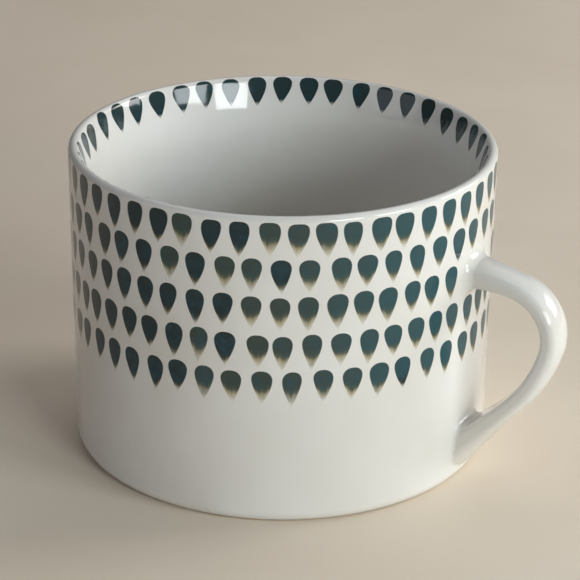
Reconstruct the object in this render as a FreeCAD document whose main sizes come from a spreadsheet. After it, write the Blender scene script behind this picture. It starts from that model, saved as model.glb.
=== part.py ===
import FreeCAD, Part
import math
import os

import Sketcher

# A low, wide stoneware mug.  Millimetres, +Z up.  The origin is on the cup's axis in the plane the
# foot ring stands on, and the handle points along +X.
#
# Four pieces of clay, made one by one and stuck together wet:
#   mug_body          the turned cup: wall, lip, floor and foot ring
#   handle            the bent strap, its two ends cut to the curve of the wall
#   upper_slip_joint  the clay slip that seats the strap's upper end, with the flare smoothed round it
#   lower_slip_joint  the same at the strap's lower end, where the smoothing is tighter

# Driving dimensions: name, value, what it is.  Lengths in millimetres, angles in degrees.
DIMENSIONS = [
    ("cup_height", 78.0, "table to the top of the lip"),
    ("rim_radius", 52.5, "outside of the wall, carried up to the lip's height"),
    ("base_radius", 52.0, "outside of the wall, carried down to the table"),
    ("lip_thickness", 2.25, "wall at the lip"),
    ("wall_thickness", 5.4, "wall below the flare, carried down to the cavity's floor"),
    ("flare_radius", 45.0, "slow curve that opens the cavity towards the lip"),
    ("flare_drop", 17.0, "top of the lip down to where that curve stands upright"),
    ("lip_round", 1.3, "rounding of the lip's two edges"),
    ("heel_round", 3.0, "rounding where the wall turns under"),
    ("cavity_floor_height", 6.0, "table to the inside floor"),
    ("cavity_corner_round", 8.0, "rounding inside, where the wall meets the floor"),
    ("foot_inner_radius", 44.5, "inside of the foot ring"),
    ("foot_recess_depth", 1.6, "how far the underside is sunk inside the foot ring"),
    ("foot_edge_round", 0.6, "rounding of the foot ring's inner edge"),
    ("cut_clearance", 1.0, "how far the outline that sinks the underside starts below the table"),
    ("strap_inner_round", 1.3, "rounding of the strap's two inner edges, all along"),
    ("root_width", 10.6, "strap at its upper end, side to side"),
    ("root_thickness", 7.0, "there, inner face to the top of the crown"),
    ("root_shoulder", 2.6, "there, rounding between the sides and the crown"),
    ("root_crown", 6.4, "there, radius of the crown"),
    ("grip_width", 9.6, "strap where fingers hold it, side to side"),
    ("grip_thickness", 4.7, "there, inner face to the top of the crown"),
    ("grip_shoulder", 1.9, "there, rounding between the sides and the crown"),
    ("grip_crown", 9.0, "there, radius of the crown"),
    ("tail_width", 12.6, "strap at its lower end, side to side"),
    ("tail_thickness", 6.2, "there, inner face to the top of the crown"),
    ("tail_shoulder", 2.4, "there, rounding between the sides and the crown"),
    ("tail_crown", 9.5, "there, radius of the crown"),
    ("root_radius", 56.3, "where the strap's bent length starts, out from the cup's axis"),
    ("root_height", 54.7, "height of the centre line there"),
    ("root_tilt", 4.0, "how far the strap slopes down there"),
    ("root_stub", 6.3, "straight end carried on from there into the wall"),
    ("shoulder_radius", 49.0, "first, slow bend of the strap"),
    ("shoulder_sweep", 10.0, "angle of that bend"),
    ("knuckle_radius", 12.3, "tight bend at the strap's widest reach"),
    ("knuckle_sweep", 91.5, "angle of that bend"),
    ("return_radius", 38.0, "slow bend back towards the wall"),
    ("return_sweep", 27.1, "angle of that bend"),
    ("tail_radius", 58.0, "where the spread of the lower end is done"),
    ("tail_stub", 14.8, "straight end carried on from there, until all of its slanting end is inside"),
    ("slip_thickness", 0.4, "slip between the strap's ends and the wall"),
    ("upper_flare", 3.3, "radius smoothed round the upper end"),
    ("lower_flare", 1.5, "radius smoothed round the lower end"),
    ("joint_split_height", 36.0, "height that parts the two joints"),
]

# Places along the strap worked out from the sizes above: name, formula in the sheet's own cells.
# Each bend ends at an along, an up and a heading, the angle the strap has turned down from level.
DERIVED = [
    ("root_along", "root_radius"),
    ("root_up", "root_height"),
    ("root_heading", "root_tilt"),
    ("shoulder_heading", "root_heading + shoulder_sweep"),
    ("shoulder_along", "root_along + shoulder_radius * (sin(shoulder_heading) - sin(root_heading))"),
    ("shoulder_up", "root_up - shoulder_radius * (cos(root_heading) - cos(shoulder_heading))"),
    ("knuckle_heading", "shoulder_heading + knuckle_sweep"),
    ("knuckle_along", "shoulder_along + knuckle_radius * (sin(knuckle_heading) - sin(shoulder_heading))"),
    ("knuckle_up", "shoulder_up - knuckle_radius * (cos(shoulder_heading) - cos(knuckle_heading))"),
    ("return_heading", "knuckle_heading + return_sweep"),
    ("return_along", "knuckle_along + return_radius * (sin(return_heading) - sin(knuckle_heading))"),
    ("return_up", "knuckle_up - return_radius * (cos(knuckle_heading) - cos(return_heading))"),
    ("tail_heading", "return_heading"),
    ("tail_along", "tail_radius"),
    ("tail_up", "return_up - (tail_along - return_along) * tan(return_heading)"),
]

VALUE = {name: value for name, value, note in DIMENSIONS}
BENDS = ("shoulder", "knuckle", "return")


def make_sheet(doc):
    """The spreadsheet every size below is bound to."""
    sheet = doc.addObject("Spreadsheet::Sheet", "Dimensions")
    for row, (name, value, note) in enumerate(DIMENSIONS, start=1):
        sheet.set("A%d" % row, name)
        sheet.set("B%d" % row, str(value))
        sheet.set("C%d" % row, note)
        sheet.setAlias("B%d" % row, name)
    for row, (name, formula) in enumerate(DERIVED, start=len(DIMENSIONS) + 1):
        sheet.set("A%d" % row, name)
        sheet.set("B%d" % row, "=" + formula)
        sheet.setAlias("B%d" % row, name)
        doc.recompute()
        VALUE[name] = float(sheet.get(name))
    return sheet


def origin_plane(body, role):
    """One of a body's own origin planes or axes, found by its role."""
    return next(item for item in body.Origin.OriginFeatures if item.Role == role)


def point(along, up):
    """A point of a sketch."""
    return FreeCAD.Vector(along, up, 0)


class Profile:
    """A sketch on one of a body's origin planes, with its sizes bound to the sheet."""

    def __init__(self, body, name, plane="XZ_Plane"):
        self.sketch = body.newObject("Sketcher::SketchObject", name)
        self.sketch.AttachmentSupport = [(origin_plane(body, plane), "")]
        self.sketch.MapMode = "FlatFace"

    def line(self, start, end, construction=False):
        return self.sketch.addGeometry(Part.LineSegment(point(*start), point(*end)), construction)

    def arc(self, centre, radius, start_angle, end_angle):
        """A counter-clockwise arc between two angles in degrees."""
        circle = Part.Circle(point(*centre), FreeCAD.Vector(0, 0, 1), radius)
        span = (math.radians(start_angle), math.radians(end_angle))
        return self.sketch.addGeometry(Part.ArcOfCircle(circle, *span), False)

    def constrain(self, kind, *arguments):
        return self.sketch.addConstraint(Sketcher.Constraint(kind, *arguments))

    def size(self, kind, *arguments, cell):
        """A dimension driven by an expression in the sheet's cells."""
        now = FreeCAD.Units.Quantity(self.sketch.evalExpression(cell)).Value
        if kind == "Angle":
            now = math.radians(now)
        index = self.constrain(kind, *arguments, now)
        self.sketch.setExpression("Constraints[%d]" % index, cell)
        return index

    def polygon(self, corners):
        """A closed outline of lines through the corners; returns the line indices."""
        lines = [self.line(a, b) for a, b in zip(corners, corners[1:] + corners[:1])]
        for here, after in zip(lines, lines[1:] + lines[:1]):
            self.constrain("Coincident", here, 2, after, 1)
        return lines

    def place(self, geometry, end, along=None, up=None):
        """Fix one end of a line by its distances from the sketch's axes."""
        if along is not None:
            self.size("DistanceX", -1, 1, geometry, end, cell=along)
        if up is not None:
            self.size("DistanceY", -1, 1, geometry, end, cell=up)


def revolve(body, kind, name, profile):
    """A full-turn Revolution or Groove about the cup's axis."""
    feature = body.newObject("PartDesign::" + kind, name)
    feature.Profile = profile.sketch
    feature.ReferenceAxis = (profile.sketch, ["V_Axis"])
    feature.Angle = 360.0
    return feature


def round_edges(body, name, base, wanted, cell):
    """A fillet on the edges of base for which wanted(edge) is true."""
    body.Document.recompute()
    edges = ["Edge%d" % number for number, edge in enumerate(base.Shape.Edges, start=1) if wanted(edge)]
    fillet = body.newObject("PartDesign::Fillet", name)
    fillet.Base = (base, edges)
    fillet.setExpression("Radius", cell)
    body.Document.recompute()
    return fillet


def ring_edge(radius, height):
    """A test for the circular edge of that radius, level, at that height."""
    def matches(edge):
        if not isinstance(edge.Curve, Part.Circle):
            return False
        same_radius = abs(edge.Curve.Radius - radius) < 0.05
        return same_radius and abs(edge.Curve.Center.z - height) < 0.05
    return matches


def check_each_removes_clay(steps):
    """Stop if a step that should turn clay away has left the volume as it was."""
    for before, after in zip(steps, steps[1:]):
        if after.Shape.Volume > before.Shape.Volume - 0.1:
            raise RuntimeError("%s removed nothing" % after.Name)


def wall_radius_at(height):
    """Outside radius of the tapered wall."""
    share = height / VALUE["cup_height"]
    return VALUE["base_radius"] + share * (VALUE["rim_radius"] - VALUE["base_radius"])


def draw_cavity(body):
    """Half the cavity: the axis, the floor, the wall and the slow flare that opens it towards the lip."""
    height, floor = VALUE["cup_height"], VALUE["cavity_floor_height"]
    lip_inner = VALUE["rim_radius"] - VALUE["lip_thickness"]
    wall_inner = VALUE["base_radius"] - VALUE["wall_thickness"]
    radius, drop = VALUE["flare_radius"], VALUE["flare_drop"]
    lean = math.degrees(math.asin(drop / radius))
    centre = (lip_inner + math.sqrt(radius ** 2 - drop ** 2), height - drop)

    cavity = Profile(body, "CavityOutline")
    axis = cavity.line((0, height), (0, floor))
    bottom = cavity.line((0, floor), (wall_inner, floor))
    side = cavity.line((wall_inner, floor), (centre[0] - radius, centre[1]))
    flare = cavity.arc(centre, radius, 180 - lean, 180)
    top = cavity.line((lip_inner, height), (0, height))
    cavity.constrain("Coincident", axis, 2, bottom, 1)
    cavity.constrain("Coincident", bottom, 2, side, 1)
    cavity.constrain("Tangent", side, 2, flare, 2)
    cavity.constrain("Coincident", flare, 1, top, 1)
    cavity.constrain("Coincident", top, 2, axis, 1)
    cavity.constrain("PointOnObject", axis, 1, -2)
    cavity.constrain("PointOnObject", axis, 2, -2)
    cavity.constrain("Horizontal", bottom)
    cavity.constrain("Horizontal", top)
    cavity.place(side, 1, along="Dimensions.base_radius - Dimensions.wall_thickness",
                 up="Dimensions.cavity_floor_height")
    cavity.place(flare, 1, along="Dimensions.rim_radius - Dimensions.lip_thickness",
                 up="Dimensions.cup_height")
    cavity.place(flare, 3, up="Dimensions.cup_height - Dimensions.flare_drop")
    cavity.size("Radius", flare, cell="Dimensions.flare_radius")
    return cavity


def make_mug_body(doc):
    """The cup, turned in one piece: solid form, then its cavity and its underside are turned out."""
    body = doc.addObject("PartDesign::Body", "MugBody")
    body.Label = "mug_body"
    height, rim, base = VALUE["cup_height"], VALUE["rim_radius"], VALUE["base_radius"]
    lip_inner, wall_inner = rim - VALUE["lip_thickness"], base - VALUE["wall_thickness"]
    foot_inner, recess = VALUE["foot_inner_radius"], VALUE["foot_recess_depth"]

    form = Profile(body, "CupOutline")
    axis, under, side, top = form.polygon([(0, height), (0, 0), (base, 0), (rim, height)])
    form.constrain("PointOnObject", axis, 1, -2)
    form.constrain("Coincident", axis, 2, -1, 1)
    form.constrain("Horizontal", under)
    form.constrain("Horizontal", top)
    form.place(side, 1, along="Dimensions.base_radius")
    form.place(side, 2, along="Dimensions.rim_radius", up="Dimensions.cup_height")
    cup = revolve(body, "Revolution", "CupForm", form)

    hollow = revolve(body, "Groove", "DrinkingCavity", draw_cavity(body))

    underside = Profile(body, "UndersideOutline")
    below = -VALUE["cut_clearance"]
    axis, bottom, side, top = underside.polygon([(0, recess), (0, below), (foot_inner, below),
                                                 (foot_inner, recess)])
    underside.constrain("PointOnObject", axis, 1, -2)
    underside.constrain("PointOnObject", axis, 2, -2)
    underside.constrain("Horizontal", bottom)
    underside.constrain("Horizontal", top)
    underside.constrain("Vertical", side)
    underside.place(side, 2, along="Dimensions.foot_inner_radius", up="Dimensions.foot_recess_depth")
    underside.size("DistanceY", bottom, 1, -1, 1, cell="Dimensions.cut_clearance")
    footed = revolve(body, "Groove", "FootRecess", underside)

    corner = round_edges(body, "CavityCorner", footed, ring_edge(wall_inner, VALUE["cavity_floor_height"]),
                         "Dimensions.cavity_corner_round")
    heel = round_edges(body, "Heel", corner, ring_edge(base, 0), "Dimensions.heel_round")
    foot = round_edges(body, "FootEdge", heel, ring_edge(foot_inner, 0), "Dimensions.foot_edge_round")

    at_outer, at_inner = ring_edge(rim, height), ring_edge(lip_inner, height)
    lip = round_edges(body, "Lip", foot, lambda edge: at_outer(edge) or at_inner(edge),
                      "Dimensions.lip_round")
    body.Tip = lip
    check_each_removes_clay([cup, hollow, footed])
    check_each_removes_clay([corner, heel, foot, lip])
    return body


def place_of(station):
    """Distance out and height of one of the strap's stations on its centre line."""
    return VALUE[station + "_along"], VALUE[station + "_up"]


def draw_strap_section(body, station, kind):
    """The strap cut across at a station: a flat inner face below, a crown above; kind picks its sizes."""
    inner = VALUE["strap_inner_round"]
    width, thick = VALUE[kind + "_width"], VALUE[kind + "_thickness"]
    shoulder, crown = VALUE[kind + "_shoulder"], VALUE[kind + "_crown"]
    half = width / 2
    crown_centre = thick / 2 - crown
    reach = half - shoulder
    level = crown_centre + math.sqrt((crown - shoulder) ** 2 - reach ** 2)
    lean = math.degrees(math.atan2(level - crown_centre, reach))

    section = Profile(body, "Strap%sSection" % station.capitalize(), "YZ_Plane")
    flat = section.line((inner - half, -thick / 2), (half - inner, -thick / 2))
    right_inner = section.arc((half - inner, inner - thick / 2), inner, 270, 360)
    right_side = section.line((half, inner - thick / 2), (half, level))
    right_outer = section.arc((reach, level), shoulder, 0, lean)
    top = section.arc((0, crown_centre), crown, lean, 180 - lean)
    left_outer = section.arc((-reach, level), shoulder, 180 - lean, 180)
    left_side = section.line((-half, level), (-half, inner - thick / 2))
    left_inner = section.arc((inner - half, inner - thick / 2), inner, 180, 270)
    middle = section.line((0, -thick / 2), (0, thick / 2), construction=True)

    round_trip = [flat, right_inner, right_side, right_outer, top, left_outer, left_side, left_inner]
    for here, after in zip(round_trip, round_trip[1:] + round_trip[:1]):
        section.constrain("Tangent", here, 2, after, 1)
    section.constrain("Symmetric", flat, 1, flat, 2, -2)
    section.constrain("PointOnObject", top, 3, -2)
    section.constrain("Equal", right_inner, left_inner)
    section.constrain("Equal", right_outer, left_outer)
    section.constrain("Vertical", right_side)
    section.constrain("Vertical", left_side)
    section.size("Radius", right_inner, cell="Dimensions.strap_inner_round")
    section.size("Radius", right_outer, cell="Dimensions.%s_shoulder" % kind)
    section.size("Radius", top, cell="Dimensions.%s_crown" % kind)
    section.size("DistanceX", left_inner, 1, right_inner, 2, cell="Dimensions.%s_width" % kind)
    section.size("DistanceY", flat, 1, -1, 1, cell="Dimensions.%s_thickness / 2" % kind)
    section.constrain("PointOnObject", middle, 1, flat)
    section.constrain("PointOnObject", middle, 1, -2)
    section.constrain("PointOnObject", middle, 2, top)
    section.constrain("Vertical", middle)
    section.size("DistanceY", middle, 1, middle, 2, cell="Dimensions.%s_thickness" % kind)
    turn = FreeCAD.Rotation(FreeCAD.Vector(1, 0, 0), VALUE[station + "_heading"])
    along, up = place_of(station)
    section.sketch.AttachmentOffset = FreeCAD.Placement(FreeCAD.Vector(0, up, along), turn)
    section.sketch.setExpression("AttachmentOffset.Base.y", "Dimensions.%s_up" % station)
    section.sketch.setExpression("AttachmentOffset.Base.z", "Dimensions.%s_along" % station)
    section.sketch.setExpression("AttachmentOffset.Rotation.Angle", "Dimensions.%s_heading" % station)
    return section.sketch


def draw_strap_path(body):
    """The strap's centre line: three bends and a straight end, each tangent to the one before."""
    path = Profile(body, "StrapPath")
    arcs = []
    turned = VALUE["root_heading"]
    for bend in BENDS:
        radius, heading = VALUE[bend + "_radius"], VALUE[bend + "_heading"]
        along, up = place_of(bend)
        turn = math.radians(heading)
        centre = (along - radius * math.sin(turn), up - radius * math.cos(turn))
        arcs.append(path.arc(centre, radius, 90 - heading, 90 - turned))
        turned = heading
    tail = path.line(place_of("return"), place_of("tail"))

    path.place(arcs[0], 2, along="Dimensions.root_radius", up="Dimensions.root_height")
    path.size("DistanceX", arcs[0], 3, arcs[0], 2,
              cell="Dimensions.shoulder_radius * sin(Dimensions.root_heading)")
    for here, after in zip(arcs, arcs[1:]):
        path.constrain("Tangent", here, 1, after, 2)
    path.constrain("Tangent", arcs[-1], 1, tail, 1)
    for bend, arc in zip(BENDS, arcs):
        path.size("Radius", arc, cell="Dimensions.%s_radius" % bend)
        path.size("Angle", arc, cell="Dimensions.%s_sweep * 1 deg" % bend)
    path.place(tail, 2, along="Dimensions.tail_radius")
    return path.sketch


def carry_on(body, name, section, length, backwards):
    """A straight end of the strap, carried on from one of its end sections."""
    stub = body.newObject("PartDesign::Pad", name)
    stub.Profile = section
    stub.Reversed = backwards
    stub.setExpression("Length", length)
    return stub


def make_strap_blank(doc):
    """The strap before its ends are cut: both are thick and run straight a little way into the wall."""
    body = doc.addObject("PartDesign::Body", "StrapBlank")
    start = draw_strap_section(body, "root", "root")
    after_bends = [draw_strap_section(body, bend, "grip") for bend in BENDS]
    end = draw_strap_section(body, "tail", "tail")
    path = draw_strap_path(body)
    doc.recompute()
    pipe = body.newObject("PartDesign::AdditivePipe", "StrapSweep")
    pipe.Profile = start
    pipe.Spine = (path, [])
    pipe.Transformation = "Multisection"
    pipe.Sections = after_bends + [end]
    carry_on(body, "RootStub", start, "Dimensions.root_stub", True)
    body.Tip = carry_on(body, "TailStub", end, "Dimensions.tail_stub", False)
    return body


def make_wall_cone(doc, name, grown):
    """The outside of the cup's wall as a solid cone, grown outwards by an expression."""
    cone = doc.addObject("Part::Cone", name)
    cone.setExpression("Radius1", "Dimensions.base_radius + %s" % grown)
    cone.setExpression("Radius2", "Dimensions.rim_radius + %s" % grown)
    cone.setExpression("Height", "Dimensions.cup_height")
    seam_at_back = FreeCAD.Rotation(FreeCAD.Vector(0, 0, 1), 180)
    cone.Placement = FreeCAD.Placement(FreeCAD.Vector(0, 0, 0), seam_at_back)
    return cone


def cut(doc, name, base, tool):
    """base with tool taken away."""
    result = doc.addObject("Part::Cut", name)
    result.Base = base
    result.Tool = tool
    return result


def make_handle(doc, blank):
    """The strap with both ends cut to the curve of the wall, short of it by the slip."""
    wall_and_slip = make_wall_cone(doc, "WallAndSlip", "Dimensions.slip_thickness")
    handle = cut(doc, "Handle", blank, wall_and_slip)
    handle.Label = "handle"
    return handle


def attachment_edges(shape):
    """Edge numbers of wall and strap together where the strap enters the wall: upper ones, lower ones."""
    upper, lower = [], []
    for number, edge in enumerate(shape.Edges, start=1):
        middle = edge.valueAt((edge.FirstParameter + edge.LastParameter) / 2)
        on_wall = abs(math.hypot(middle.x, middle.y) - wall_radius_at(middle.z)) < 0.02
        beside_strap = middle.x > 0 and abs(middle.y) < VALUE["tail_width"]
        off_the_ends = 0.5 < middle.z < VALUE["cup_height"] - 0.5
        if on_wall and beside_strap and off_the_ends:
            (upper if middle.z > VALUE["joint_split_height"] else lower).append(number)
    return upper, lower


def make_smoothed_clay(doc, blank, wall):
    """Wall and strap as one mass with the corner between them smoothed to a flare at both ends."""
    joined = doc.addObject("Part::Fuse", "WallAndStrap")
    joined.Base = wall
    joined.Tool = blank
    doc.recompute()
    upper, lower = attachment_edges(joined.Shape)
    if not upper or not lower:
        raise RuntimeError("the strap doesn't meet the wall at both ends")
    smoothed = doc.addObject("Part::Fillet", "SmoothedWallAndStrap")
    smoothed.Base = joined
    flares = [(number, VALUE["upper_flare"]) for number in upper]
    flares += [(number, VALUE["lower_flare"]) for number in lower]
    smoothed.Edges = [(number, radius, radius) for number, radius in flares]
    return smoothed


def make_joint(doc, both, name, label, bottom, height):
    """The part of both joints' clay that lies between two levels."""
    block = doc.addObject("Part::Box", name + "Block")
    block.setExpression("Length", "Dimensions.rim_radius")
    block.setExpression("Width", "4 * Dimensions.tail_width")
    block.setExpression("Height", height)
    block.setExpression("Placement.Base.x", "Dimensions.rim_radius / 2")
    block.setExpression("Placement.Base.y", "-2 * Dimensions.tail_width")
    block.setExpression("Placement.Base.z", bottom)
    joint = doc.addObject("Part::Common", name)
    joint.Label = label
    joint.Base = both
    joint.Tool = block
    return joint


def make_slip_joints(doc, blank, handle):
    """The slip behind and round each strap end: the smoothed mass, less the wall and less the handle."""
    wall = make_wall_cone(doc, "WallOutside", "0")
    smoothed = make_smoothed_clay(doc, blank, wall)
    outside = cut(doc, "StrapAndFlares", smoothed, wall)
    both = cut(doc, "BothJoints", outside, handle)
    split = "Dimensions.joint_split_height"
    above = "Dimensions.cup_height - " + split
    upper = make_joint(doc, both, "UpperJoint", "upper_slip_joint", split, above)
    lower = make_joint(doc, both, "LowerJoint", "lower_slip_joint", "0", split)
    return [upper, lower]


def check(doc, pieces):
    """Stop if anything failed to build, or a piece isn't one sound solid."""
    for item in doc.Objects:
        if {"Invalid", "Error"} & set(item.State):
            raise RuntimeError("%s: %s" % (item.Name, item.State))
    for piece in pieces:
        shape = piece.Shape
        if shape.isNull() or not shape.isValid() or len(shape.Solids) != 1:
            raise RuntimeError("%s isn't one valid solid" % piece.Label)


def write(pieces):
    """One STEP file for each piece, named by its label."""
    os.makedirs("parts", exist_ok=True)
    for piece in pieces:
        piece.Shape.exportStep(os.path.join("parts", piece.Label + ".step"))


def main():
    doc = FreeCAD.newDocument("Mug")
    make_sheet(doc)
    body = make_mug_body(doc)
    blank = make_strap_blank(doc)
    handle = make_handle(doc, blank)
    pieces = [body, handle] + make_slip_joints(doc, blank, handle)
    doc.recompute()
    check(doc, pieces)
    write(pieces)


main()
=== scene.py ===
"""How the low, wide stoneware mug looks: glazed cup, strap handle, two slip joints and painted drops.

Lengths are in millimetres, which add_piece turns into metres, and angles in degrees, unless said.
The frame is the CAD model's: origin on the cup's axis in the plane of the foot, +Z up, handle along +X.
"""
import bisect
import math
import random

import bpy
from mathutils import Matrix, Vector


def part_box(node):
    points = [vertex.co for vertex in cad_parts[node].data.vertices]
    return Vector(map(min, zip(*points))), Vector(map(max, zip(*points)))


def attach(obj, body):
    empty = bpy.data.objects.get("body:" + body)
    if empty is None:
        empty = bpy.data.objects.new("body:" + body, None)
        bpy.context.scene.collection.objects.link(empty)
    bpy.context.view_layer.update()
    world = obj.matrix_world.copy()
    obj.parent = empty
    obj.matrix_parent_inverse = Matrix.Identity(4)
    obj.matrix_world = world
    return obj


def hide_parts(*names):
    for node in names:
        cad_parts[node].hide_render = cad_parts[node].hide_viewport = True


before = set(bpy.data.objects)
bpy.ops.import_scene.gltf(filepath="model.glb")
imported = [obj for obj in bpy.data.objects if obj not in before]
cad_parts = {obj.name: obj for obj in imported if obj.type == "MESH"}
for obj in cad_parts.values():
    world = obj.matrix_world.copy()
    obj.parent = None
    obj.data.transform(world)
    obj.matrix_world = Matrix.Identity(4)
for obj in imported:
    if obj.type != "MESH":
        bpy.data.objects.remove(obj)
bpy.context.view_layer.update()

METRE = 0.001
ROOT = "root"

# ---------------------------------------------------------------- the cup's sizes
CUP_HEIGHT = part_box("mug_body")[1][2] / METRE
RIM_RADIUS = 52.5
BASE_RADIUS = 52.0
LIP_ROUND = 1.35
# The cavity's wall leans out by WALL_TILT, then curves slowly until it leans out by FLARE_TILT at the lip.
WALL_TILT = 0.4
FLARE_TILT = 21.0
FLARE_RADIUS = 45.0
HEEL_ROUND = 3.0
CAVITY_FLOOR = 6.0
CAVITY_ROUND = 8.0
FOOT_INNER = 44.5
FOOT_RECESS = 1.6
FOOT_ROUND = 0.6
# The glaze stops this far above the table.
BARE_HEIGHT = 0.45
# The surface is drawn as rings of AROUND points, closed on the axis by flat faces of AXIS_RADIUS.
AROUND = 256
AXIS_RADIUS = 0.8

# ---------------------------------------------------------------- the strap's sizes
# Each section: width, thickness, rounding between side and crown, radius of the crown.
ROOT_SECTION = (10.8, 8.1, 2.6, 6.4)
GRIP_SECTION = (9.6, 4.7, 1.9, 9.0)
TAIL_SECTION = (14.6, 7.7, 2.6, 10.0)
STRAP_INNER_ROUND = 1.3
# The centre line starts level at (radius, height), bends down by each (radius, sweep) in turn, and ends
# straight at STRAP_END_RADIUS. Both its ends are inside the wall.
STRAP_START = (50.5, 55.1)
STRAP_BENDS = [(59.0, 14.0), (12.3, 91.5), (38.0, 27.1)]
STRAP_END_RADIUS = 48.0
# The strap stops short of the wall by the slip; a ball of the flare's radius smooths each end.
SLIP_THICKNESS = 0.4
UPPER_FLARE = 3.3
LOWER_FLARE = 1.5
SECTION_POINTS = 96
STRAP_STEP = 0.6


def wall_radius(height):
    """Outside radius of the tapered wall."""
    return BASE_RADIUS + (RIM_RADIUS - BASE_RADIUS) * height / CUP_HEIGHT


def blend(first, second, share):
    """Tuples part of the way from first to second."""
    return tuple(a + (b - a) * share for a, b in zip(first, second))


# ---------------------------------------------------------------- meshes
def add_piece(name, points, faces, normals, materials, face_materials=None, marks=None, hidden_faces=()):
    """A smooth mesh from points in millimetres with its exact normals, riding on the cup's body.

    marks gives each vertex three numbers that its material reads. hidden_faces close the mesh where it
    is buried in its neighbour, and are shaded flat."""
    mesh = bpy.data.meshes.new(name)
    mesh.from_pydata([Vector(p) * METRE for p in points], [], faces + list(hidden_faces))
    for material in materials:
        mesh.materials.append(material)
    if face_materials:
        mesh.polygons.foreach_set("material_index", face_materials)
    if marks:
        attribute = mesh.attributes.new("marks", "FLOAT_VECTOR", "POINT")
        attribute.data.foreach_set("vector", [value for mark in marks for value in mark])
    mesh.polygons.foreach_set("use_smooth", [True] * len(mesh.polygons))
    mesh.update()
    smooth = [Vector(normal).normalized() for normal in normals]
    corner_normals = []
    for polygon in mesh.polygons:
        is_hidden = polygon.index >= len(faces)
        corner_normals += [polygon.normal if is_hidden else smooth[vertex] for vertex in polygon.vertices]
    mesh.normals_split_custom_set(corner_normals)
    piece = bpy.data.objects.new(name, mesh)
    bpy.context.scene.collection.objects.link(piece)
    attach(piece, ROOT)
    return piece


def ring_faces(rings, count):
    """Quads between neighbouring rings of count points, as indices, ring by ring."""
    faces = []
    for ring in range(rings - 1):
        for here in range(count):
            after = (here + 1) % count
            low, high = ring * count, (ring + 1) * count
            faces.append((low + here, low + after, high + after, high + here))
    return faces


# ---------------------------------------------------------------- the cup
def arc_stations(centre, radius, start, end, steps, hollow=False):
    """Points of an arc with normals away from its centre, or towards it where the arc is hollow."""
    stations = []
    for step in range(steps + 1):
        angle = math.radians(start + (end - start) * step / steps)
        across, up = math.cos(angle), math.sin(angle)
        sign = -1 if hollow else 1
        stations.append((centre[0] + radius * across, centre[1] + radius * up, sign * across, sign * up))
    return stations


def straight_stations(start, end, normal, steps):
    """Points between the ends of a straight stretch, ends left out."""
    return [(*blend(start, end, step / steps), *normal) for step in range(1, steps)]


def cup_stations():
    """The cup's half section as (radius, height, normal across, normal up), underside to cavity floor.

    Returns the stations and the place of the lip's crest among them."""
    outer_tilt = math.degrees(math.atan((RIM_RADIUS - BASE_RADIUS) / CUP_HEIGHT))
    out = (math.cos(math.radians(outer_tilt)), -math.sin(math.radians(outer_tilt)))
    inward = (-math.cos(math.radians(WALL_TILT)), math.sin(math.radians(WALL_TILT)))

    recess_centre = (FOOT_INNER - FOOT_ROUND, FOOT_RECESS - FOOT_ROUND)
    recess = arc_stations(recess_centre, FOOT_ROUND, 90, 0, 6, hollow=True)
    foot = arc_stations((FOOT_INNER + FOOT_ROUND, FOOT_ROUND), FOOT_ROUND, 180, 270, 8)
    heel_centre = (wall_radius(HEEL_ROUND) - HEEL_ROUND, HEEL_ROUND)
    heel = arc_stations(heel_centre, HEEL_ROUND, -90, -outer_tilt, 16)
    lip_centre = (wall_radius(CUP_HEIGHT - LIP_ROUND) - LIP_ROUND, CUP_HEIGHT - LIP_ROUND)
    lip_out = arc_stations(lip_centre, LIP_ROUND, -outer_tilt, 90, 14)
    lip_in = arc_stations(lip_centre, LIP_ROUND, 90, 180 - FLARE_TILT, 12)[1:]
    turned = math.radians(180 - FLARE_TILT)
    grown = FLARE_RADIUS - LIP_ROUND
    flare_centre = (lip_centre[0] - grown * math.cos(turned), lip_centre[1] - grown * math.sin(turned))
    flare = arc_stations(flare_centre, FLARE_RADIUS, 180 - FLARE_TILT, 180 - WALL_TILT, 24)[1:]
    corner_height = CAVITY_FLOOR + CAVITY_ROUND
    wall_end = flare[-1]
    corner_radius = wall_end[0] - (wall_end[1] - corner_height) * math.tan(math.radians(WALL_TILT))
    corner_centre = (corner_radius - CAVITY_ROUND, corner_height)
    corner = arc_stations(corner_centre, CAVITY_ROUND, -WALL_TILT, -90, 20, hollow=True)

    stations = [(AXIS_RADIUS, FOOT_RECESS, 0, -1)]
    stations += straight_stations((AXIS_RADIUS, FOOT_RECESS), recess[0][:2], (0, -1), 6) + recess
    stations += foot
    stations += straight_stations(foot[-1][:2], heel[0][:2], (0, -1), 3) + heel
    stations += straight_stations(heel[-1][:2], lip_out[0][:2], out, 24) + lip_out
    crest = len(stations) - 1
    stations += lip_in + flare
    stations += straight_stations(wall_end[:2], corner[0][:2], inward, 12) + corner
    stations += straight_stations(corner[-1][:2], (AXIS_RADIUS, CAVITY_FLOOR), (0, 1), 8)
    stations.append((AXIS_RADIUS, CAVITY_FLOOR, 0, 1))
    return stations, crest


def make_cup(stations, glaze, clay):
    """The cup as one closed surface; the flat of the foot ring and its edges are bare clay."""
    points, normals = [], []
    for radius, height, across, up in stations:
        for step in range(AROUND):
            angle = 2 * math.pi * step / AROUND
            cosine, sine = math.cos(angle), math.sin(angle)
            points.append((radius * cosine, radius * sine, height))
            normals.append((across * cosine, across * sine, up))
    faces = ring_faces(len(stations), AROUND)
    bare = [
        max(stations[ring][1], stations[ring + 1][1]) < BARE_HEIGHT
        for ring in range(len(stations) - 1)
        for step in range(AROUND)
    ]
    last = (len(stations) - 1) * AROUND
    centres = [tuple(reversed(range(AROUND))), tuple(range(last, last + AROUND))]
    slots = [int(is_bare) for is_bare in bare] + [0, 0]
    cup = add_piece("glazed_cup", points, faces + centres, normals, [glaze, clay], slots)
    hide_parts("mug_body")


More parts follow.
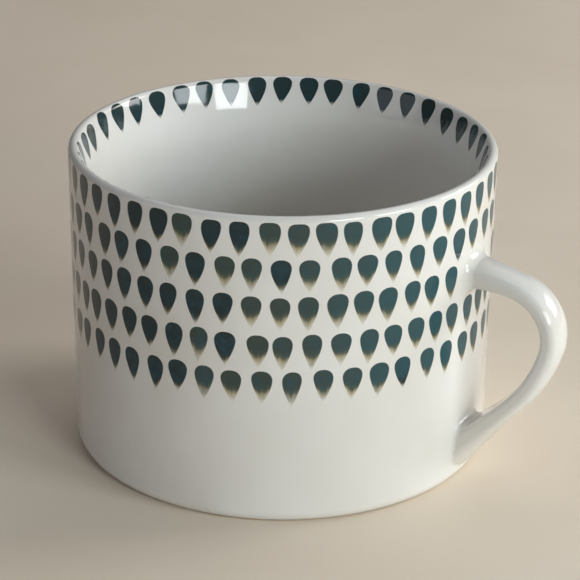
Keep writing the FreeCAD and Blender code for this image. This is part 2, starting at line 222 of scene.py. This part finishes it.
# ---------------------------------------------------------------- the strap
def strap_section(sizes):
    """The strap cut across, counter-clockwise: (sideways, outwards, normal sideways, normal outwards)."""
    width, thickness, shoulder, crown = sizes
    half, inner = width / 2, STRAP_INNER_ROUND
    bottom, waist = -thickness / 2, STRAP_INNER_ROUND - thickness / 2
    crown_centre = thickness / 2 - crown
    reach = half - shoulder
    level = crown_centre + math.sqrt((crown - shoulder) ** 2 - reach ** 2)
    lean = math.degrees(math.atan2(level - crown_centre, reach))

    outline = arc_stations((half - inner, waist), inner, 270, 360, 24)
    outline += straight_stations((half, waist), (half, level), (1, 0), 6)
    outline += arc_stations((reach, level), shoulder, 0, lean, 24)
    outline += arc_stations((0, crown_centre), crown, lean, 180 - lean, 48)[1:]
    outline += arc_stations((-reach, level), shoulder, 180 - lean, 180, 24)[1:]
    outline += straight_stations((-half, level), (-half, waist), (-1, 0), 6)
    outline += arc_stations((inner - half, waist), inner, 180, 270, 24)
    outline += straight_stations((inner - half, bottom), (half - inner, bottom), (0, -1), 24)
    return evenly_spaced(outline, SECTION_POINTS)


def evenly_spaced(outline, count):
    """count stations spread evenly by length round a closed outline."""
    closed = outline + outline[:1]
    lengths = [0.0]
    for here, after in zip(closed, closed[1:]):
        lengths.append(lengths[-1] + math.dist(here[:2], after[:2]))
    spread, index = [], 0
    for step in range(count):
        wanted = lengths[-1] * step / count
        while lengths[index + 1] < wanted:
            index += 1
        share = (wanted - lengths[index]) / (lengths[index + 1] - lengths[index])
        spread.append(tuple(a + (b - a) * share for a, b in zip(closed[index], closed[index + 1])))
    return spread


def sizes_along(length, root_end, tail_start, total):
    """The strap's section sizes: thick where it leaves the wall, even for fingers, spread at its foot."""
    if length < root_end:
        return blend(GRIP_SECTION, ROOT_SECTION, (1 - length / root_end) ** 2)
    share = max(0.0, (length - tail_start) / (total - tail_start))
    return blend(GRIP_SECTION, TAIL_SECTION, share * share * (3 - 2 * share))


class Strap:
    """The strap's centre line and its section, one entry each STRAP_STEP."""

    def __init__(self):
        self.line = [(*STRAP_START, 0.0)]
        self.lengths = [0.0]
        ends = []
        for bend_radius, sweep in STRAP_BENDS:
            turn = math.radians(sweep)
            self.walk(bend_radius * turn, turn)
            ends.append(self.lengths[-1])
        radius, height, heading = self.line[-1]
        self.walk((STRAP_END_RADIUS - radius) / math.cos(heading), 0.0)
        total = self.lengths[-1]
        sizes = [sizes_along(length, ends[0], ends[-1], total) for length in self.lengths]
        self.sections = [strap_section(here) for here in sizes]
        self.last = len(self.line) - 1

    def walk(self, length, turn):
        """Carry the centre line on, bending it down by turn."""
        radius, height, heading = self.line[-1]
        steps = max(2, round(length / STRAP_STEP))
        for step in range(steps):
            heading -= turn / steps / 2
            radius += length / steps * math.cos(heading)
            height += length / steps * math.sin(heading)
            heading -= turn / steps / 2
            self.line.append((radius, height, heading))
            self.lengths.append(self.lengths[-1] + length / steps)

    def point(self, position, station):
        """Where a section's station lands in space, and its normal there; position counts entries."""
        index = min(max(int(position), 0), self.last - 1)
        share = position - index
        radius, height, heading = blend(self.line[index], self.line[index + 1], share)
        section = blend(self.sections[index][station], self.sections[index + 1][station], share)
        sideways, outwards, normal_side, normal_out = section
        out = (-math.sin(heading), math.cos(heading))
        place = Vector((radius + outwards * out[0], sideways, height + outwards * out[1]))
        return place, Vector((normal_out * out[0], normal_side, normal_out * out[1]))

    def where(self, station, at_start, gap, ball=0.0):
        """Position where the strap's surface, or a ball's centre resting on it, is gap from the wall."""
        inside, outside = (0 if at_start else self.last), self.last // 2
        for halving in range(40):
            middle = (inside + outside) / 2
            point, normal = self.point(middle, station)
            if from_wall(point + normal * ball) < gap:
                inside = middle
            else:
                outside = middle
        return (inside + outside) / 2


def from_wall(point):
    """How far a point stands out from the wall."""
    return math.hypot(point[0], point[1]) - wall_radius(point[2])


def make_strap(strap, glaze):
    """The strap, each end following the wall's curve just short of it."""
    points, normals = [], []
    starts = [strap.where(station, True, SLIP_THICKNESS) for station in range(SECTION_POINTS)]
    ends = [strap.where(station, False, SLIP_THICKNESS) for station in range(SECTION_POINTS)]
    rings = strap.last + 1
    for ring in range(rings):
        share = ring / (rings - 1)
        for station, (start, end) in enumerate(zip(starts, ends)):
            point, normal = strap.point(start + (end - start) * share, station)
            points.append(point)
            normals.append(normal)
    faces = ring_faces(rings, SECTION_POINTS)
    start_cap = wall_cap(points, normals, 0, SLIP_THICKNESS, True)
    end_cap = wall_cap(points, normals, strap.last * SECTION_POINTS, SLIP_THICKNESS, False)
    piece = add_piece("handle_strap", points, faces, normals, [glaze], hidden_faces=start_cap + end_cap)
    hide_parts("handle")


CAP_RINGS = 4


def wall_cap(points, normals, first, gap, flip):
    """Faces closing a ring of points over the wall, gap out from it; adds the points they need."""
    count = SECTION_POINTS
    edge = [Vector(point) for point in points[first:first + count]]
    middle = sum(edge, Vector()) / count
    rings = [list(range(first, first + count))]
    for ring in range(1, CAP_RINGS + 1):
        share = 1 - ring / CAP_RINGS
        here = []
        for point in edge if share else edge[:1]:
            height = middle.z + (point.z - middle.z) * share
            sideways = middle.y + (point.y - middle.y) * share
            across = math.sqrt((wall_radius(height) + gap) ** 2 - sideways ** 2)
            here.append(len(points))
            points.append(Vector((across, sideways, height)))
            normals.append(Vector((-1, 0, 0)))
        rings.append(here)
    faces = []
    for outer, inner in zip(rings, rings[1:]):
        for step in range(count):
            after = (step + 1) % count
            if len(inner) == 1:
                face = (outer[step], outer[after], inner[0])
            else:
                face = (outer[step], outer[after], inner[after], inner[step])
            faces.append(tuple(reversed(face)) if flip else face)
    return faces


FLARE_STEPS = 20


def make_flare(name, node, strap, flare, at_start, glaze):
    """The slip round one end of the strap: a ball's roll between strap and wall, closed off behind."""
    columns = []
    for station in range(SECTION_POINTS):
        touch, normal = strap.point(strap.where(station, at_start, flare, ball=flare), station)
        centre = touch + normal * flare
        to_wall = -Vector((centre.x, centre.y, 0)).normalized()
        tucked = strap.point(strap.where(station, at_start, SLIP_THICKNESS), station)
        column = [tucked]
        for step in range(FLARE_STEPS + 1):
            direction = (-normal).slerp(to_wall, step / FLARE_STEPS, to_wall)
            column.append((centre + direction * flare, -direction))
        columns.append(column)
    points, normals = [], []
    rings = FLARE_STEPS + 2
    for ring in range(rings):
        for column in columns:
            point, normal = column[ring]
            points.append(point)
            normals.append(normal)
    faces = ring_faces(rings, SECTION_POINTS)
    if at_start:
        faces = [tuple(reversed(face)) for face in faces]
    tucked_faces, faces = faces[:SECTION_POINTS], faces[SECTION_POINTS:]
    strap_side = wall_cap(points, normals, 0, SLIP_THICKNESS, not at_start)
    wall_side = wall_cap(points, normals, (rings - 1) * SECTION_POINTS, 0.0, at_start)
    hidden = tucked_faces + strap_side + wall_side
    piece = add_piece(name, points, faces, normals, [glaze], hidden_faces=hidden)
    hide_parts(node)


# ---------------------------------------------------------------- the painted drops
# Each row: name, height of the drops' tops, number of drops, direction of one drop in degrees, and how
# square the tops are.
OUTER_ROWS = [
    ("drops_row_1", 76.8, 49, -57.5, 3.0),
    ("drops_row_2", 68.2, 48, -61.1, 2.2),
    ("drops_row_3", 59.1, 50, -61.8, 2.2),
    ("drops_row_4", 49.5, 50, -60.5, 2.2),
    ("drops_row_5", 40.1, 48, -57.7, 2.2),
]
INNER_ROW = ("drops_inside", 77.85, 43, 119.5, 2.2)
FIRST_ROW_SEED = 11
INNER_ROW_SEED = 29

# A drop's usual width and length, the spread of each from drop to drop, and its sideways lean and bow.
OUTER_SIZE = (5.1, 8.7)
INNER_SIZE = (5.6, 7.6)
WIDTH_SPREAD = (0.93, 1.07)
LENGTH_SPREAD = (0.94, 1.06)
LEAN = 0.22
BOW = 0.10
# Where a drop is widest, as a share of its length, and the powers that shape its sides below that.
WIDEST = 0.26
BELLY_POWER = 1.6
TIP_POWER = 1.12

# A drop's mesh: rows down it, and across it columns of (side, lift off the glaze).
DROP_ROWS = 16
DROP_EDGE_LIFT = -0.03
DROP_COLUMNS = [
    (-1.0, DROP_EDGE_LIFT), (-0.9, 0.025), (-0.5, 0.04), (0.0, 0.045), (0.5, 0.04), (0.9, 0.025),
    (1.0, DROP_EDGE_LIFT),
]
# The sunk point that closes the underside: its share of the drop's length, and its lift.
DROP_UNDERSIDE = (0.36, -0.08)
# The radius at which a drop's width is turned into an angle, inside and outside.
WALL_MIDDLE = 51.0

# Spacing round the cup: a slow drift and a scatter in degrees, then a sway and a scatter of the height.
SPACING_DRIFT = 0.6
SPACING_SCATTER = 0.3
HEIGHT_SWAY = 0.25
HEIGHT_SCATTER = 0.15
# Inside, no drop's top comes nearer than this to the top of the lip.
LIP_CLEARANCE = 0.12

# No drop's middle, this far below its top, comes into an oval this wide and high round the upper flare.
DROP_MIDDLE = 3.1
HANDLE_KEEP_OUT = (10.0, 9.2)

# Outside, a few drops anywhere are heavy with pigment and dark to the tip. On the cup's shaded side,
# centred at the first angle below, most drops are made heavy too, which is painted shade; elsewhere they
# are mostly thin.
THIN, HEAVY_AND_SHADE, FULL = 0, 1, 2
PAINTED_SHADE_TOWARDS = -108
PAINTED_SHADE_SPREAD = 30
PAINTED_SHADE_FADE = 20
HEAVY_ANYWHERE = 0.05
PAINTED_SHADE_ADDED = 0.9


def drop_half_width(along, squareness):
    """Half width of a drop, 0 to 1, at a share of the way from its top to the tip of its tail."""
    if along < WIDEST:
        return (1 - ((WIDEST - along) / WIDEST) ** squareness) ** (1 / squareness)
    beyond = (along - WIDEST) / (1 - WIDEST)
    return (1 - beyond ** BELLY_POWER) ** TIP_POWER


def surface_from_crest(stations, crest, inside):
    """Two functions over the cup's surface, which is measured by the length down it from the lip's crest.

    place gives the point and normal at an angle, a length and a lift. length_at gives a height's length."""
    section = stations[crest:] if inside else stations[crest::-1]
    lengths = [0.0]
    for here, after in zip(section, section[1:]):
        lengths.append(lengths[-1] + math.dist(here[:2], after[:2]))

    def place(angle, length, lift):
        index = bisect.bisect_right(lengths, length) - 1
        share = (length - lengths[index]) / (lengths[index + 1] - lengths[index])
        radius, height, across, up = blend(section[index], section[index + 1], share)
        radius += across * lift
        height += up * lift
        cosine, sine = math.cos(angle), math.sin(angle)
        point = Vector((radius * cosine, radius * sine, height))
        return point, Vector((across * cosine, across * sine, up))

    def length_at(height):
        for index, (here, after) in enumerate(zip(section, section[1:])):
            if after[1] <= height:
                share = (here[1] - height) / (here[1] - after[1])
                return lengths[index] + (lengths[index + 1] - lengths[index]) * share

    return place, length_at


def add_drop(rng, place, angle, top, squareness, inside, load_and_shade, patch):
    """One brushed drop as a thin domed patch whose edge is sunk in the glaze.

    Its marks are the share of its length, how far in from its edge, and its chance plus twice its load,
    where a heavy load also stands for painted shade on the cup's shaded side."""
    points, normals, faces, under, marks = patch
    usual_width, usual_length = INNER_SIZE if inside else OUTER_SIZE
    width = usual_width * rng.uniform(*WIDTH_SPREAD)
    length = usual_length * rng.uniform(*LENGTH_SPREAD)
    lean, bow = rng.gauss(0, LEAN), rng.gauss(0, BOW)
    chance = rng.random()
    side_sign = -1 if inside else 1

    def add_point(along, side, lift):
        middle = lean * (along - 0.4) + bow * math.sin(math.pi * along)
        across = middle + side * drop_half_width(along, squareness) * width / 2
        point, normal = place(angle + side_sign * across / WALL_MIDDLE, top + along * length, lift)
        points.append(point)
        normals.append(normal)
        marks.append((along, 1 - abs(side), chance + 2 * load_and_shade))
        return len(points) - 1

    first = add_point(0.0, 0.0, DROP_EDGE_LIFT)
    rows = []
    for row in range(1, DROP_ROWS):
        along = (1 - math.cos(math.pi * row / DROP_ROWS)) / 2
        rows.append([add_point(along, side, lift) for side, lift in DROP_COLUMNS])
    last = add_point(1.0, 0.0, DROP_EDGE_LIFT)
    hub = add_point(DROP_UNDERSIDE[0], 0.0, DROP_UNDERSIDE[1])
    for left, right in zip(range(len(DROP_COLUMNS) - 1), range(1, len(DROP_COLUMNS))):
        faces.append((first, rows[0][left], rows[0][right]))
        faces.append((last, rows[-1][right], rows[-1][left]))
        for upper, lower in zip(rows, rows[1:]):
            faces.append((upper[left], lower[left], lower[right], upper[right]))
    edge = [first] + [row[0] for row in rows] + [last] + [row[-1] for row in reversed(rows)]
    for here, after in zip(edge, edge[1:] + edge[:1]):
        under.append((after, here, hub))


def keeps_clear_of_handle(angle, height):
    """False where the strap's upper flare leaves no room for a drop."""
    along = math.remainder(angle, 2 * math.pi) * RIM_RADIUS / HANDLE_KEEP_OUT[0]
    up = (height - STRAP_START[1]) / HANDLE_KEEP_OUT[1]
    return along * along + up * up > 1


def painted_shade_share(angle):
    """Painted shade round the cup: 1 on the cup's shaded side, where the drops are made dark to the tip."""
    away = abs(math.remainder(math.degrees(angle) - PAINTED_SHADE_TOWARDS, 360))
    return min(1.0, max(0.0, (PAINTED_SHADE_SPREAD + PAINTED_SHADE_FADE / 2 - away) / PAINTED_SHADE_FADE))


def make_drop_row(stations, crest, row, inside, seed, pigment):
    """One row of drops round the cup, unevenly spaced as a hand would."""
    name, top, count, phase, squareness = row
    rng = random.Random(seed)
    place, length_at = surface_from_crest(stations, crest, inside)
    patch = ([], [], [], [], [])
    drift_phase, sway_phase = rng.uniform(0, 6), rng.uniform(0, 6)
    for step in range(count):
        turn = 2 * math.pi * step / count
        drift = math.radians(SPACING_DRIFT) * math.sin(3 * turn + drift_phase)
        angle = math.radians(phase) + turn + drift + rng.gauss(0, math.radians(SPACING_SCATTER))
        height = top + HEIGHT_SWAY * math.sin(2 * turn + sway_phase) + rng.gauss(0, HEIGHT_SCATTER)
        if inside:
            load_and_shade = FULL
            height = min(height, CUP_HEIGHT - LIP_CLEARANCE)
        else:
            # On the cup's shaded side most drops are made heavy, dark to the tip, as painted shade.
            is_heavy_and_shade = rng.random() < HEAVY_ANYWHERE + PAINTED_SHADE_ADDED * painted_shade_share(angle)
            load_and_shade = HEAVY_AND_SHADE if is_heavy_and_shade else THIN
        if inside or keeps_clear_of_handle(angle, height - DROP_MIDDLE):
            add_drop(rng, place, angle, length_at(height), squareness, inside, load_and_shade, patch)
    points, normals, faces, under, marks = patch
    piece = add_piece(name, points, faces, normals, [pigment], marks=marks, hidden_faces=under)


# ---------------------------------------------------------------- materials
def srgb(red, green, blue):
    """A display colour, 0 to 255, as the linear colour a shader wants."""
    def linear(value):
        value /= 255
        return value / 12.92 if value <= 0.04045 else ((value + 0.055) / 1.055) ** 2.4
    return (linear(red), linear(green), linear(blue), 1.0)


class Shader:
    """A material's node tree with short calls for the nodes used here."""

    def __init__(self, name):
        self.material = bpy.data.materials.new(name)
        self.material.use_nodes = True
        self.tree = self.material.node_tree
        self.surface = self.tree.nodes["Principled BSDF"]

    def node(self, kind, **inputs):
        made = self.tree.nodes.new(kind)
        for key, value in inputs.items():
            self.feed(made.inputs[key.replace("_", " ")], value)
        return made

    def feed(self, socket, value):
        if isinstance(value, bpy.types.NodeSocket):
            self.tree.links.new(value, socket)
        else:
            socket.default_value = value

    def place(self):
        return self.node("ShaderNodeTexCoord").outputs["Object"]

    def noise(self, scale, detail=3.0, roughness=0.5, stretch=1.0):
        """Noise over the piece; a stretch below 1 draws it out into upright streaks."""
        place = self.node("ShaderNodeMapping", Vector=self.place(), Scale=(1.0, 1.0, stretch))
        made = self.node("ShaderNodeTexNoise", Scale=scale, Detail=detail, Roughness=roughness)
        self.tree.links.new(place.outputs["Vector"], made.inputs["Vector"])
        return made.outputs["Fac"]

    def ramp(self, value, stops, easing="LINEAR"):
        made = self.node("ShaderNodeValToRGB", Fac=value)
        made.color_ramp.interpolation = easing
        elements = made.color_ramp.elements
        while len(elements) < len(stops):
            elements.new(0.5)
        for element, (position, colour) in zip(elements, stops):
            element.position = position
            element.color = colour
        return made.outputs["Color"]

    def remap(self, value, low, high, to_low=0.0, to_high=1.0):
        made = self.node("ShaderNodeMapRange", Value=value)
        for key, number in (("From Min", low), ("From Max", high), ("To Min", to_low), ("To Max", to_high)):
            made.inputs[key].default_value = number
        return made.outputs["Result"]

    def math(self, operation, first, second=0.0):
        made = self.tree.nodes.new("ShaderNodeMath")
        made.operation = operation
        self.feed(made.inputs[0], first)
        self.feed(made.inputs[1], second)
        return made.outputs[0]

    def mix(self, share, first, second):
        made = self.tree.nodes.new("ShaderNodeMix")
        made.data_type = "RGBA"
        self.feed(made.inputs["Factor"], share)
        self.feed(made.inputs[6], first)
        self.feed(made.inputs[7], second)
        return made.outputs[2]

    def bump(self, height, strength, distance):
        made = self.node("ShaderNodeBump", Height=height, Strength=strength, Distance=distance)
        return made.outputs["Normal"]

    def set(self, **inputs):
        for key, value in inputs.items():
            self.feed(self.surface.inputs[key.replace("_", " ")], value)


GLAZE_LIGHT = srgb(228, 227, 223)
GLAZE_DEEP = srgb(222, 219, 212)


def glaze_colour(shader):
    """Warm off-white, a shade creamier where the glaze lies thicker."""
    return shader.ramp(shader.noise(38.0, detail=4.0), [(0.35, GLAZE_LIGHT), (0.70, GLAZE_DEEP)])


def glossy_glaze(shader):
    """The glass of the glaze: smooth, with the faint waviness fired glaze has."""
    waves = shader.noise(95.0, detail=1.5)
    shader.set(
        Roughness=shader.remap(shader.noise(260.0, detail=2.0), 0.3, 0.7, 0.06, 0.10),
        IOR=1.5,
        Normal=shader.bump(waves, 0.25, 0.0006),
    )


def glaze_material():
    shader = Shader("warm_white_glaze")
    shader.set(Base_Color=glaze_colour(shader))
    glossy_glaze(shader)
    return shader.material


def clay_material():
    shader = Shader("bare_stoneware")
    grain = shader.noise(900.0, detail=8.0, roughness=0.7)
    body = shader.ramp(grain, [
        (0.32, srgb(150, 132, 108)), (0.50, srgb(188, 170, 144)), (0.72, srgb(205, 190, 166))])
    shader.set(Base_Color=body, Roughness=0.85, Normal=shader.bump(grain, 0.6, 0.0003))
    return shader.material


def pigment_material():
    """Brushed colour under the glaze: dark blue-green, thinning through olive and tan to nothing.

    It reads a drop's marks. Towards the handle the drops are bluer and dark nearly to the tip.
    Heavy drops stay dark much further down; on the cup's shaded side they are painted shade."""
    shader = Shader("painted_drop")
    marks = shader.node("ShaderNodeAttribute")
    marks.attribute_name = "marks"
    split = shader.node("ShaderNodeSeparateXYZ", Vector=marks.outputs["Vector"])
    along, inside, code = split.outputs
    is_heavy_and_shade, is_full = (shader.math("GREATER_THAN", code, 2 * load - 0.5) for load in (HEAVY_AND_SHADE, FULL))
    chance = shader.math("MULTIPLY", shader.math("FRACT", shader.math("MULTIPLY", code, 0.5)), 2.0)
    across = shader.node("ShaderNodeSeparateXYZ", Vector=shader.place()).outputs["X"]
    handle_side = shader.remap(across, 0.028, 0.050)
    mottle = shader.noise(420.0, detail=5.0)
    streak = shader.remap(shader.noise(900.0, detail=2.0, stretch=0.16), 0.3, 0.7, -0.055, 0.055)
    from_middle = shader.math("SUBTRACT", 1.0, inside)
    rounding = shader.math("MULTIPLY", shader.math("POWER", from_middle, 2.0), 0.15)
    reach = shader.math("ADD", shader.math("ADD", along, streak), rounding)
    reach = shader.math("SUBTRACT", reach, shader.math("MULTIPLY", handle_side, 0.10))
    thin = shader.ramp(reach, [
        (0.00, srgb(56, 68, 61)), (0.42, srgb(50, 66, 64)), (0.54, srgb(60, 74, 66)),
        (0.63, srgb(96, 96, 78)), (0.69, srgb(152, 144, 118)), (0.80, srgb(192, 184, 162)),
        (1.00, srgb(214, 210, 198))])
    # Colour of heavy drops: a few heavy with pigment, and on the cup's shaded side painted shade.
    heavy_and_shade_paint = shader.ramp(reach, [
        (0.00, srgb(24, 44, 44)), (0.45, srgb(8, 43, 52)), (0.64, srgb(12, 43, 50)),
        (0.75, srgb(38, 52, 48)), (0.83, srgb(110, 103, 80)),
        (0.92, srgb(168, 158, 134)), (1.00, srgb(205, 200, 186))])
    full = shader.ramp(along, [
        (0.00, srgb(42, 57, 56)), (0.82, srgb(38, 55, 58)), (0.90, srgb(68, 78, 72)),
        (1.00, srgb(185, 182, 168))])
    paint = shader.mix(is_full, shader.mix(is_heavy_and_shade, thin, heavy_and_shade_paint), full)
    bluer = shader.mix(0.40, paint, srgb(20, 78, 94))
    teal = shader.mix(shader.math("MULTIPLY", shader.remap(mottle, 0.42, 0.62), chance), paint, bluer)
    thick = shader.remap(reach, 0.48, 0.66, 0.75, 0.0)
    teal = shader.mix(shader.math("MULTIPLY", thick, handle_side), teal, srgb(26, 78, 88))
    tail = shader.remap(along, 0.82, 1.0, 1.0, 0.0)
    brim = shader.remap(inside, 0.02, 0.10)
    strength = shader.math("MULTIPLY", tail, brim)
    shader.set(Base_Color=shader.mix(strength, glaze_colour(shader), teal))
    glossy_glaze(shader)
    return shader.material


def floor_material():
    shader = Shader("pale_floor")
    grain = shader.noise(14.0, detail=5.0)
    shader.set(
        Base_Color=shader.ramp(grain, [(0.3, srgb(234, 219, 199)), (0.7, srgb(240, 227, 209))]),
        Roughness=0.8,
    )
    return shader.material


# ---------------------------------------------------------------- floor, light and camera
# In metres.
FLOOR_HALF_WIDTH = 1.6


def make_floor():
    half = FLOOR_HALF_WIDTH
    mesh = bpy.data.meshes.new("floor")
    corners = [(-half, -half, 0), (half, -half, 0), (half, half, 0), (-half, half, 0)]
    mesh.from_pydata(corners, [], [(0, 1, 2, 3)])
    mesh.materials.append(floor_material())
    floor = bpy.data.objects.new("floor", mesh)
    bpy.context.scene.collection.objects.link(floor)


# The camera, its distance in millimetres. Yaw and pitch turn it off the cup's middle.
CAMERA_AZIMUTH = 29.0
CAMERA_ELEVATION = 23.33
CAMERA_DISTANCE = 546.3
CAMERA_LENS = 134.67
CAMERA_ROLL = 0.726
CAMERA_YAW = 0.2436
CAMERA_PITCH = 0.0966


def direction_from(azimuth, elevation):
    """Unit vector from the mug towards a viewer or light; azimuth 0 is -Y, 90 is +X."""
    a, e = math.radians(azimuth), math.radians(elevation)
    return Vector((math.sin(a) * math.cos(e), -math.cos(a) * math.cos(e), math.sin(e)))


def make_camera():
    azimuth = math.radians(CAMERA_AZIMUTH)
    right = Vector((math.cos(azimuth), math.sin(azimuth), 0))
    away = Vector((-math.sin(azimuth), math.cos(azimuth), 0))
    middle = Vector((0, 0, CUP_HEIGHT / 2))
    place = middle + direction_from(CAMERA_AZIMUTH, CAMERA_ELEVATION) * CAMERA_DISTANCE
    pitch, yaw = math.radians(CAMERA_ELEVATION + CAMERA_PITCH), math.radians(CAMERA_YAW)
    level = right * math.sin(yaw) + away * math.cos(yaw)
    forward = level * math.cos(pitch) - Vector((0, 0, math.sin(pitch)))
    side = forward.cross(Vector((0, 0, 1))).normalized()
    up = side.cross(forward)
    roll = math.radians(CAMERA_ROLL)
    tilted = side * math.cos(roll) + up * math.sin(roll)
    upright = up * math.cos(roll) - side * math.sin(roll)
    camera = bpy.data.objects.new("camera", bpy.data.cameras.new("camera"))
    camera.data.sensor_width = 36.0
    camera.data.lens = CAMERA_LENS
    turn = Matrix((tilted, upright, -forward)).transposed().to_4x4()
    camera.matrix_world = Matrix.Translation(place * METRE) @ turn
    bpy.context.scene.collection.objects.link(camera)
    bpy.context.scene.camera = camera


def add_light(name, azimuth, elevation, distance, size, watts, colour):
    """A square soft light aimed at the mug, its direction counted as the camera's is."""
    lamp = bpy.data.lights.new(name, "AREA")
    lamp.shape = "RECTANGLE"
    lamp.size, lamp.size_y = size
    lamp.energy = watts
    lamp.color = colour
    light = bpy.data.objects.new(name, lamp)
    back = direction_from(azimuth, elevation)
    light.location = back * distance + Vector((0, 0, CUP_HEIGHT / 2 * METRE))
    light.rotation_mode = "QUATERNION"
    light.rotation_quaternion = back.to_track_quat("Z", "Y")
    bpy.context.scene.collection.objects.link(light)


# Each light: name, degrees to the right of the camera, elevation, size in metres, watts, colour.
LIGHTS = [
    ("window", 105, 22, 0.42, 4.8, (1.0, 0.98, 0.96)),
    ("window_edge", 118, 22, 0.30, 0.5, (1.0, 0.98, 0.96)),
    ("front_window", 58, 20, 0.36, 3.7, (0.91, 0.98, 1.0)),
    ("front_window_low", 32, 16, 0.36, 4.7, (0.91, 0.98, 1.0)),
    ("left_wall", -70, 20, 0.6, 0.8, (0.90, 0.90, 1.0)),
    ("floor_from_behind", 175, 62, 0.9, 2.2, (1.0, 0.99, 0.97)),
]
# The lights' distance in metres, then the room's own brightness on the mug and as seen behind it.
LIGHT_DISTANCE = 1.1
ROOM_LIGHT = 0.09
BACKDROP_LIGHT = 0.55


def make_lights():
    world = bpy.data.worlds.new("studio")
    bpy.context.scene.world = world
    world.use_nodes = True
    background = world.node_tree.nodes["Background"]
    background.inputs["Color"].default_value = (0.93, 0.95, 1.0, 1)
    seen = world.node_tree.nodes.new("ShaderNodeLightPath").outputs["Is Camera Ray"]
    strength = world.node_tree.nodes.new("ShaderNodeMapRange")
    strength.inputs["To Min"].default_value = ROOM_LIGHT
    strength.inputs["To Max"].default_value = BACKDROP_LIGHT
    world.node_tree.links.new(seen, strength.inputs["Value"])
    world.node_tree.links.new(strength.outputs["Result"], background.inputs["Strength"])
    for name, aside, elevation, size, watts, colour in LIGHTS:
        add_light(name, CAMERA_AZIMUTH + aside, elevation, LIGHT_DISTANCE, (size, size), watts, colour)


def main():
    glaze, clay, pigment = glaze_material(), clay_material(), pigment_material()
    stations, crest = cup_stations()
    make_cup(stations, glaze, clay)
    strap = Strap()
    make_strap(strap, glaze)
    make_flare("upper_flare", "upper_slip_joint", strap, UPPER_FLARE, True, glaze)
    make_flare("lower_flare", "lower_slip_joint", strap, LOWER_FLARE, False, glaze)
    for seed, row in enumerate(OUTER_ROWS, start=FIRST_ROW_SEED):
        make_drop_row(stations, crest, row, False, seed, pigment)
    make_drop_row(stations, crest, INNER_ROW, True, INNER_ROW_SEED, pigment)
    make_floor()
    make_lights()
    make_camera()
    bpy.context.scene.view_settings.view_transform = "Standard"


main()
